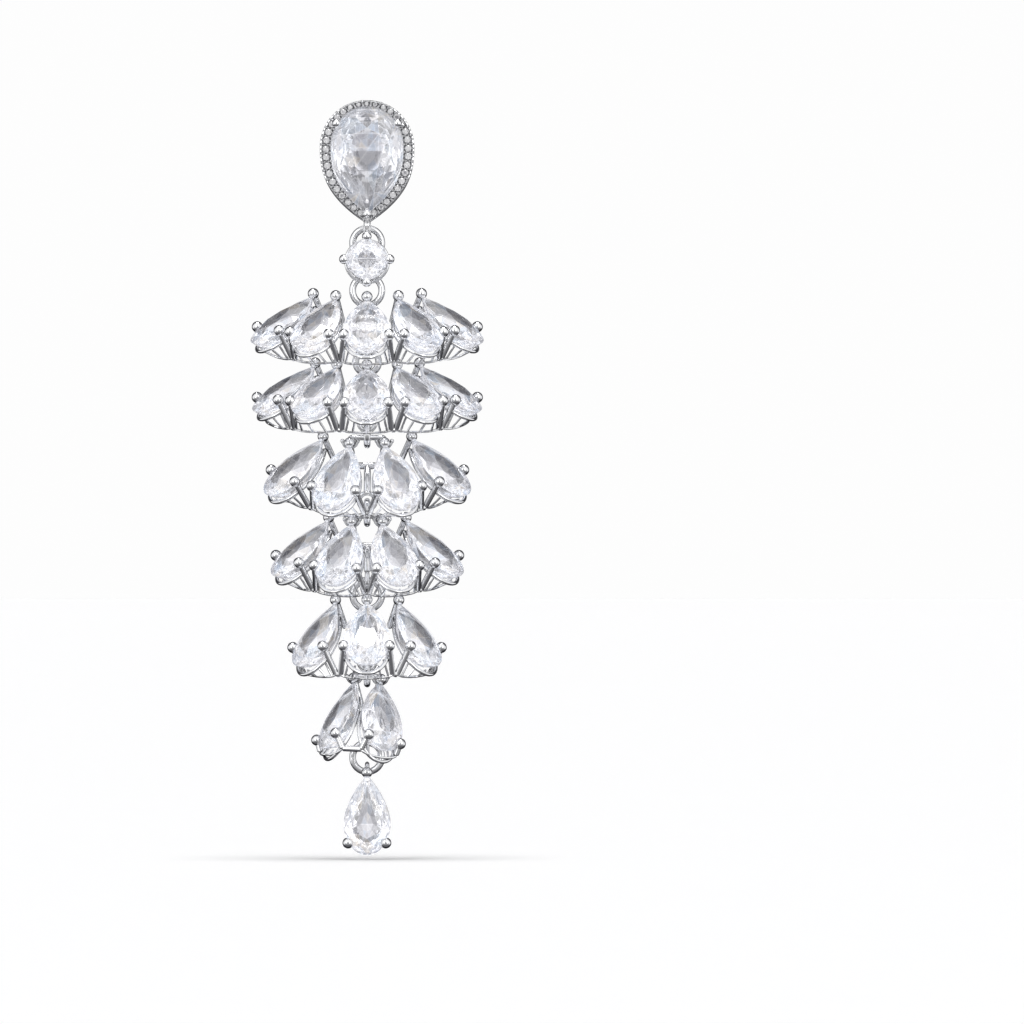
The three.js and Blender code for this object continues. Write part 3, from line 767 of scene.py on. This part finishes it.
class EARRING_OT_stud(bpy.types.Operator):
    """Make the pear halo head with its small stones, gallery, prongs and bail, and the big stone"""
    bl_idname = "earring.stud"
    bl_label = "Stud"

    def execute(self, context):
        metal = context.scene.earring_metal
        stones = context.scene.earring_stones
        turn = Matrix(((-1, 0, 0), (0, 0, -1), (0, -1, 0))).to_4x4()
        place = Matrix.Translation((0, 0, MAIN_CENTRE_HEIGHT)) @ turn
        head = Shape()
        self.wall(head, place)
        pebbles = Shape(3)
        self.row(head, pebbles, place, stones, metal)
        self.prongs(head, place, metal)
        self.back(head)
        self.bail(head, pebbles)
        head.piece("stud_metal", silver(), "stud", ["stud_setting"], smooth=True)
        pebbles.piece("stud_pave", pave(), "stud")
        stone = Shape(1)
        gem(stone, MAIN, place @ Matrix.Translation((0, 0, STUD_DEPTH)), fine=2)
        stone.piece("stud_gem", crystal(), "stud", ["stud_stone"])
        return {"FINISHED"}

    def between(self, amount, height, corners=WALL_CORNERS):
        """An outline between the big stone's, at 0, and the halo's, at 1."""
        inner = MAIN.outline(corners)
        outer = [p + Vector((0, HALO_DROP, 0)) for p in HALO.outline(corners)]
        return [a.lerp(b, amount) + Vector((0, 0, height)) for a, b in zip(inner, outer)]

    def wall(self, head, place):
        drop = Vector((0, HALO_DROP, 0))
        rings = [[p + drop for p in HALO.ring(WALL_CORNERS, amount, height)]
                 for amount, height in WALL_OUTSIDE]
        rings += [self.between(amount, height) for amount, height in WALL_TOP]
        rings += [MAIN.ring(WALL_CORNERS, amount, height) for amount, height in WALL_INSIDE]
        head.skin(rings, closed=True, place=place)
        low = drop + Vector((0, GALLERY_DROP, 0))
        rim = [p + low for p in HALO.ring(WALL_CORNERS, GALLERY_SHARE, GALLERY_HEIGHT)]
        head.wire(rim, GALLERY_WIRE, 10, closed=True, place=place)

    def row(self, head, pebbles, place, stones, metal):
        """The halo's small stones, spaced evenly, with a grain bead on each side between two of them."""
        middle = self.between(ROW_MIDDLE, STUD_DEPTH, ROW_CORNERS)
        steps = [(b - a).length for a, b in zip(middle, middle[1:] + middle[:1])]
        total, count = sum(steps), stones.pave_count
        run, marks = 0.0, []
        for i, step in enumerate(steps):
            while len(marks) < count * 2 and run >= len(marks) * total / (count * 2):
                marks.append(i)
            run += step
        inner, outer = [self.between(amount, STUD_DEPTH, ROW_CORNERS) for amount in ROW_EDGES]
        bead = metal.bead_radius / MM
        for k, i in enumerate(marks):
            for edge in (inner[i], outer[i]):
                size = bead if k % 2 else bead * SMALL_BEAD
                head.ball(edge + Vector((0, 0, BEAD_LIFT)), size, place, 6, 10)
            if k % 2:
                for amount in BEAD_PLACES:
                    spot = inner[i].lerp(outer[i], amount) - Vector((0, 0, BEAD_SINK))
                    head.ball(spot, bead, place, 6, 10)
            else:
                self.small_stone(pebbles, middle[i], (outer[i] - inner[i]).length / 2, stones, place)
        head.wire(self.between(0.98, STUD_DEPTH - 0.1), EDGE_WIRE, 8, closed=True, place=place)

    def small_stone(self, pebbles, at, room, stones, place):
        """One of the halo's stones, no wider than the row leaves room for."""
        radius = min(stones.pave_radius / MM, room * ROW_FILL)
        points = [at + Vector((math.cos(a) * radius * amount, math.sin(a) * radius * amount, height))
                  for amount, height, turn in PAVE_STONE
                  for a in (2 * math.pi * n / 8 + turn for n in range(8))]
        pebbles.hull(points, place)

    def prongs(self, head, place, metal):
        ball = metal.stud_ball_radius / MM
        side, back = MAIN.width * STUD_SIDE_SHARE, MAIN.length * STUD_ROUND_SHARE
        grips = [Vector((0, MAIN.length / 2 + STUD_TIP_REACH, STUD_TIP_RISE)),
                 Vector((-side, -back, STUD_SIDE_RISE)), Vector((side, -back, STUD_SIDE_RISE))]
        for at in grips:
            top = at + Vector((0, 0, STUD_DEPTH))
            head.ball(top, ball, place)
            head.rod(top, top - Vector((0, 0, STUD_DEPTH / 2)), metal.post_radius / MM, place=place)
        head.ball(Vector(SPARE_BEAD), SPARE_BEAD_RADIUS, place)

    def back(self, head):
        """The flat bar across the back that carries the ear post."""
        deep, high, eased = BACK_DEPTH, BACK_HALF_HEIGHT, BACK_HALF_HEIGHT - BACK_EASE
        section = ((-deep, -high), (-deep, high), (-BACK_EASE, high), (0, eased), (0, -eased),
                   (-BACK_EASE, -high))
        corners = [Vector((x, y, MAIN_CENTRE_HEIGHT + z))
                   for x in (-BACK_REACH, BACK_REACH) for y, z in section]
        head.hull(corners)

    def bail(self, head, pebbles):
        """The bail under the point, set with small stones where it shows."""
        at = Vector((0, HANG_DEPTH, BAIL_HOLE_HEIGHT))
        mean = (BAIL_HOLE + LOOP_WIRE) / 2
        head.wire(circle(at, mean, "side"), BAIL_WIDTH / 2, 16, closed=True, flat=LOOP_WIRE / BAIL_WIDTH,
                  side=Vector((1, 0, 0)))
        head.rod(Vector((0, HANG_DEPTH, MAIN_CENTRE_HEIGHT - MAIN.length / 2)),
                 Vector((0, HANG_DEPTH, BAIL_HOLE_HEIGHT + mean)), BAIL_WIDTH / 2)
        for turn in BAIL_STONE_TURNS:
            angle = math.radians(turn)
            out = Vector((0, -math.cos(angle), math.sin(angle)))
            up = Vector((0, math.sin(angle), math.cos(angle)))
            spot = at + out * (mean + LOOP_WIRE / 2 - BAIL_STONE_SINK)
            points = [spot + Vector((math.cos(a) * radius, 0, 0)) + up * math.sin(a) * radius + out * height
                      for radius, height in BAIL_STONE
                      for a in (2 * math.pi * n / 8 for n in range(8))]
            pebbles.hull(points)
            for across in (-BAIL_BEAD_SPREAD, BAIL_BEAD_SPREAD):
                head.ball(spot + up * BAIL_BEAD_STEP + Vector((across, 0, 0)), BAIL_BEAD, rows=6, sides=8)


class EARRING_OT_ear_post(bpy.types.Operator):
    """Make the plain ear post with its foot and the groove near its end"""
    bl_idname = "earring.ear_post"
    bl_label = "Ear post"

    def execute(self, context):
        post = Shape()
        turns = [2 * math.pi * k / 24 for k in range(24)]
        rings = [[Vector((math.cos(a) * r, y, math.sin(a) * r)) for a in turns] for y, r in POST_PROFILE]
        post.skin(rings)
        post.piece("ear_pin_metal", silver(), "stud", ["ear_post"], smooth=True)
        return {"FINISHED"}


class EARRING_OT_jump_rings(bpy.types.Operator):
    """Make the jump rings that link the pieces"""
    bl_idname = "earring.jump_rings"
    bl_label = "Jump rings"

    def execute(self, context):
        widths = [FACE_RING_WIDTH] + [tier["ring"] for tier in TIERS] + [FACE_RING_WIDTH]
        loops = ["side", "side"] + [tier["foot_loop"] for tier in TIERS]
        bodies = ["main_drop"] + [f"tier_{n}" for n in range(1, len(TIERS) + 1)] + [f"tier_{len(TIERS)}"]
        for n, (width, loop, body, hole) in enumerate(zip(widths, loops, bodies, RING_HOLES), 1):
            plane = "face" if loop == "side" else "side"
            mean = (width - RING_WIRE) / 2
            ring = Shape()
            path = circle(Vector((0, HANG_DEPTH, hole - mean)), mean, plane, 56)
            ring.wire(path, RING_WIRE / 2, 16, closed=True)
            ring.piece(f"jump_ring_{n}_metal", silver(), body, [f"jump_ring_{n}"], smooth=True)
        return {"FINISHED"}


class EARRING_OT_round_link(bpy.types.Operator):
    """Make the round stone in its four prongs, with the loops behind it"""
    bl_idname = "earring.round_link"
    bl_label = "Round link"

    def execute(self, context):
        hole = RING_HOLES[0] - (FACE_RING_WIDTH - RING_WIRE)
        place = facing(Vector((0, HANG_DEPTH - LINK_FRONT, hole - LINK_DROP)))
        reach = ROUND.width / 2 + PRONG_REACH * 4
        grips = [Vector((math.sin(a) * reach, math.cos(a) * reach, PRONG_RISE))
                 for a in (math.radians(90 * n) for n in range(4))]
        depths = [LINK_TOP_DEPTH] + [LINK_BASE_DEPTH] * 3
        link = Shape()
        basket(link, ROUND, grips, 0, [at + leaning(0) * depth for at, depth in zip(grips, depths)],
               LINK_PRONG_RADIUS, place)
        feet = [at + leaning(0) * (depth - BAR_RADIUS) for at, depth in zip(grips, depths)]
        link.rod(feet[3], feet[1], BAR_RADIUS, place=place)
        link.rod(Vector((0, 0, feet[2].z)), feet[2], BAR_RADIUS, place=place)
        rim = ROUND.ring(48, LINK_RIM_SHARE, LINK_RIM_HEIGHT, LINK_RIM_DROP)
        link.wire(rim, LINK_RIM_WIRE, 10, closed=True, place=place)
        for height in (hole, hole - LINK_HOLE_PITCH):
            loop(link, height, "side")
        link.piece("round_link_metal", silver(), "main_drop", ["round_link_setting"], smooth=True)
        stone = Shape(2)
        gem(stone, ROUND, place)
        stone.piece("round_link_gem", crystal(), "main_drop", ["round_link_stone"])
        return {"FINISHED"}


class EARRING_OT_tiers(bpy.types.Operator):
    """Make the curved tiers: their stones, baskets, loops and spines"""
    bl_idname = "earring.tiers"
    bl_label = "Tiers"

    def execute(self, context):
        for number, (tier, height) in enumerate(zip(TIERS, TIER_HEIGHTS), 1):
            self.tier(context, number, tier, height)
        return {"FINISHED"}

    def tier(self, context, number, tier, height):
        metal = context.scene.earring_metal
        body = f"tier_{number}"
        places, inner = hang_tier(tier, height)
        reach = (tier["foot"] - tier["apex"]) / math.sin(math.radians(tier["tilt"]))
        grips = grips_of(PEAR, reach - APEX_REACH - PEAR.length / 2)
        lean = 90 - POST_LEAN - tier["tilt"]
        feet = [at + leaning(lean) * POST_LENGTH for at in grips]
        work = Shape()
        last = len(places) - 1
        posts = tier.get("posts", 1)
        for n, place in enumerate(places):
            ends = list(feet)
            for corner, beside, opposite in ((1, n + 1, 2), (2, n - 1, 1)):
                if 0 <= beside <= last:
                    other = place.inverted() @ (places[beside] @ feet[opposite])
                    ends[corner] = feet[corner].lerp(other, POST_MEET / 2)
                    ends[corner] = grips[corner].lerp(ends[corner], posts)
                else:
                    ends[corner] = grips[corner].lerp(feet[corner], OUTER_POST_SHARE * posts)
            basket(work, PEAR, grips, lean, ends, metal.ball_radius / MM, place)
            base_wire(work, PEAR, ends, metal.base_radius / MM, place)
            if n < last:
                low = [place @ feet[1], places[n + 1] @ feet[2]]
                top = [place @ grips[1], places[n + 1] @ grips[2]]
                work.rod(*[top[k].lerp(low[k].lerp(low[1 - k], POST_MEET / 2), posts) for k in (0, 1)],
                         metal.post_radius / MM)
            stone = Shape(10 * number + n)
            gem(stone, PEAR, place)
            stone.piece(f"{body}_gem_{n + 1}", crystal(), body, [f"{body}_stone_{n + 1}"])
        self.hanger(work, tier, height, places, inner, grips, feet)
        work.piece(f"{body}_metal", silver(), body, [f"{body}_setting"], smooth=True)

    def hanger(self, work, tier, height, places, inner, grips, feet):
        """The loop or bar that a tier hangs by, and the spine down to its lower loop."""
        low = [places[i] @ feet[0] for i in inner]
        start = sum(low, Vector()) / len(low)
        if tier["hang"] == "loop":
            loop(work, height, "side")
        else:
            ends = [places[i] @ grips[0] for i in inner]
            corners = [Vector((end.x, HANG_DEPTH, height)) for end in ends]
            work.wire(rounded([ends[0], corners[0], corners[1], ends[1]]), BAR_RADIUS, 12)
            for end in ends:
                collar(work, end)
            work.rod(low[0], low[1], SPINE_RADIUS, flat=SPINE_FLATNESS, side=Vector((0, 0, 1)))
        hole = height - tier["drop"]
        end = Vector((0, HANG_DEPTH, hole + (LOOP_HOLE + LOOP_WIRE) / 2))
        work.rod(Vector((0, start.y, start.z)), end, SPINE_RADIUS, flat=SPINE_FLATNESS,
                 side=Vector((1, 0, 0)))
        loop(work, hole, tier["foot_loop"])


class EARRING_OT_drop(bpy.types.Operator):
    """Make the last pear drop with its bail"""
    bl_idname = "earring.drop"
    bl_label = "Drop"

    def execute(self, context):
        metal = context.scene.earring_metal
        body = f"tier_{len(TIERS)}"
        hole = RING_HOLES[-1] - (FACE_RING_WIDTH - RING_WIRE)
        grips = grips_of(DROP, DROP_GRIP)
        place = facing(Vector((0, HANG_DEPTH - DROP_FRONT, hole - grips[0].y)))
        depths = [DROP_APEX_DEPTH, DROP_BASE_DEPTH, DROP_BASE_DEPTH]
        work = Shape()
        basket(work, DROP, grips, 0, [at + leaning(0) * depth for at, depth in zip(grips, depths)],
               metal.ball_radius / MM, place)
        loop(work, hole, "side")
        work.piece("drop_metal", silver(), body, ["drop_setting"], smooth=True)
        stone = Shape(99)
        gem(stone, DROP, place)
        stone.piece("drop_gem", crystal(), body, ["drop_stone"])
        return {"FINISHED"}


class EARRING_OT_studio(bpy.types.Operator):
    """Make the white floor, the soft lights, the room with its dark flags, and the camera"""
    bl_idname = "earring.studio"
    bl_label = "Studio"

    def execute(self, context):
        studio = context.scene.earring_studio
        self.paper(studio)
        self.lights(studio)
        self.world(context, studio)
        self.camera(context, studio)
        return {"FINISHED"}

    def paper(self, studio):
        """A wide round floor under the drop, as pale as the room behind it."""
        height = CAD_BOX[0][2] - studio.floor_gap
        turns = [2 * math.pi * k / FLOOR_CORNERS for k in range(FLOOR_CORNERS)]
        middle = Vector((0, 0, height))
        points = [Vector((math.cos(a), math.sin(a), 0)) * studio.floor_radius + middle for a in turns]
        mesh = bpy.data.meshes.new("paper_floor")
        mesh.from_pydata(points, [], [tuple(range(FLOOR_CORNERS))])
        mesh.materials.append(finish_of("backdrop paper", studio_paper, studio))
        thing = bpy.data.objects.new("paper_floor", mesh)
        thing.visible_glossy = False
        thing.visible_transmission = False
        bpy.context.scene.collection.objects.link(thing)

    def lamp(self, data, at, target, power):
        data.energy = power
        thing = bpy.data.objects.new(data.name, data)
        thing.location = at
        thing.rotation_euler = (Vector(target) - Vector(at)).to_track_quat("-Z", "Y").to_euler()
        thing.visible_transmission = False
        bpy.context.scene.collection.objects.link(thing)
        return thing

    def lights(self, studio):
        """A broad light overhead for the soft shadow, and two tall ones that only the metal shows."""
        overhead = bpy.data.lights.new("overhead", "SUN")
        overhead.angle = math.radians(OVERHEAD_SPREAD)
        self.lamp(overhead, OVERHEAD_PLACE, LIGHT_TARGET, studio.key_power)
        x, y, z = TALL_LIGHT_PLACE
        for name, side in (("front_left", -1), ("front_right", 1)):
            tall = bpy.data.lights.new(name, "AREA")
            tall.shape = "RECTANGLE"
            tall.size, tall.size_y = TALL_LIGHT_SIZE
            lamp = self.lamp(tall, (x * side, y, z), LIGHT_TARGET, studio.front_power)
            lamp.visible_diffuse = False

    def world(self, context, studio):
        """A white room. The metal reflects dark flags at its sides, and the stones see patches of grey."""
        world = bpy.data.worlds.new("studio")
        world.use_nodes = True
        context.scene.world = world
        nodes = Nodes(world.node_tree)
        place = nodes.add("ShaderNodeTexCoord", output=0)
        across, depth, rise = [nodes.add("ShaderNodeSeparateXYZ", None, {"Vector": place}, n)
                               for n in range(3)]
        flags = nodes.ramp(0.5 - depth * 0.5, [
            (0.0, (0.9, 0.9, 0.92)), (0.04, (0.6, 0.6, 0.62)), (0.1, (0.05, 0.05, 0.055)),
            (0.36, (0.06, 0.06, 0.065)), (0.47, (0.5, 0.5, 0.52)), (0.62, WHITE),
            (0.96, (0.95, 0.95, 0.95)), (0.99, (0.45, 0.45, 0.46))])
        upper = nodes.ramp(0.5 + rise * 0.5, [
            (0.15, (0.13, 0.13, 0.14)), (0.36, (0.45, 0.45, 0.46)), (0.52, WHITE)])
        flags = nodes.mix(1.0, flags, upper, "MULTIPLY")
        side = nodes.ramp(across * across, [(0.8, BLACK), (0.9, WHITE)])
        flags = nodes.mix(side, flags, (0.9, 0.9, 0.92, 1.0))
        cells = nodes.add("ShaderNodeTexVoronoi", None, {"Vector": place, "Scale": 3.2}, 1)
        patch = nodes.add("ShaderNodeSeparateXYZ", None, {"Vector": cells})
        soft = nodes.ramp(patch, [
            (0.0, (0.22, 0.22, 0.25)), (0.15, (0.45, 0.45, 0.5)), (0.35, (0.7, 0.7, 0.74)),
            (0.55, (0.85, 0.85, 0.87)), (0.8, (0.95, 0.95, 0.95))])
        direct, glossy, through = [nodes.add("ShaderNodeLightPath", output=n) for n in (0, 3, 6)]
        fill = (studio.fill_light,) * 3
        seen = nodes.mix(direct, (*fill, 1), (*studio.room_colour, 1))
        seen = nodes.mix(through, seen, soft)
        seen = nodes.mix(glossy, seen, flags)
        shader = nodes.add("ShaderNodeBackground", None, {"Color": seen, "Strength": studio.world_light})
        nodes.add("ShaderNodeOutputWorld", None, {"Surface": shader})
        context.scene.view_settings.view_transform = "Standard"

    def camera(self, context, studio):
        data = bpy.data.cameras.new("camera")
        data.sensor_width = SENSOR_WIDTH
        data.lens = SENSOR_WIDTH * studio.distance / studio.view_width
        data.clip_end = 10
        thing = bpy.data.objects.new("camera", data)
        front = (HANG_DEPTH - 3) * MM
        thing.location = (studio.view_side, front - studio.distance, -studio.view_drop)
        thing.rotation_euler = (math.radians(90), 0, 0)
        context.scene.collection.objects.link(thing)
        context.scene.camera = thing


class EARRING_PT_panel(bpy.types.Panel):
    """Lists the earring's pieces and settings"""
    bl_idname = "EARRING_PT_panel"
    bl_label = "Chandelier earring"
    bl_space_type = "VIEW_3D"
    bl_region_type = "UI"
    bl_category = "Earring"

    def draw(self, context):
        for key in GROUPS:
            group = getattr(context.scene, key)
            box = self.layout.box()
            for name in group.__annotations__:
                box.prop(group, name)
        for operator in OPERATORS:
            self.layout.operator(operator.bl_idname)


GROUPS = {"earring_metal": EarringMetal, "earring_stones": EarringStones, "earring_studio": EarringStudio}
OPERATORS = (EARRING_OT_stud, EARRING_OT_ear_post, EARRING_OT_jump_rings, EARRING_OT_round_link,
             EARRING_OT_tiers, EARRING_OT_drop, EARRING_OT_studio)


def register():
    for kind in (*GROUPS.values(), *OPERATORS, EARRING_PT_panel):
        bpy.utils.register_class(kind)
    for name, kind in GROUPS.items():
        setattr(bpy.types.Scene, name, bpy.props.PointerProperty(type=kind))


def unregister():
    for name in GROUPS:
        delattr(bpy.types.Scene, name)
    for kind in (EARRING_PT_panel, *reversed(OPERATORS), *reversed(GROUPS.values())):
        bpy.utils.unregister_class(kind)


def main():
    register()
    bpy.ops.earring.stud()
    bpy.ops.earring.ear_post()
    bpy.ops.earring.jump_rings()
    bpy.ops.earring.round_link()
    bpy.ops.earring.tiers()
    bpy.ops.earring.drop()
    bpy.ops.earring.studio()


if __name__ == "__main__":
    main()
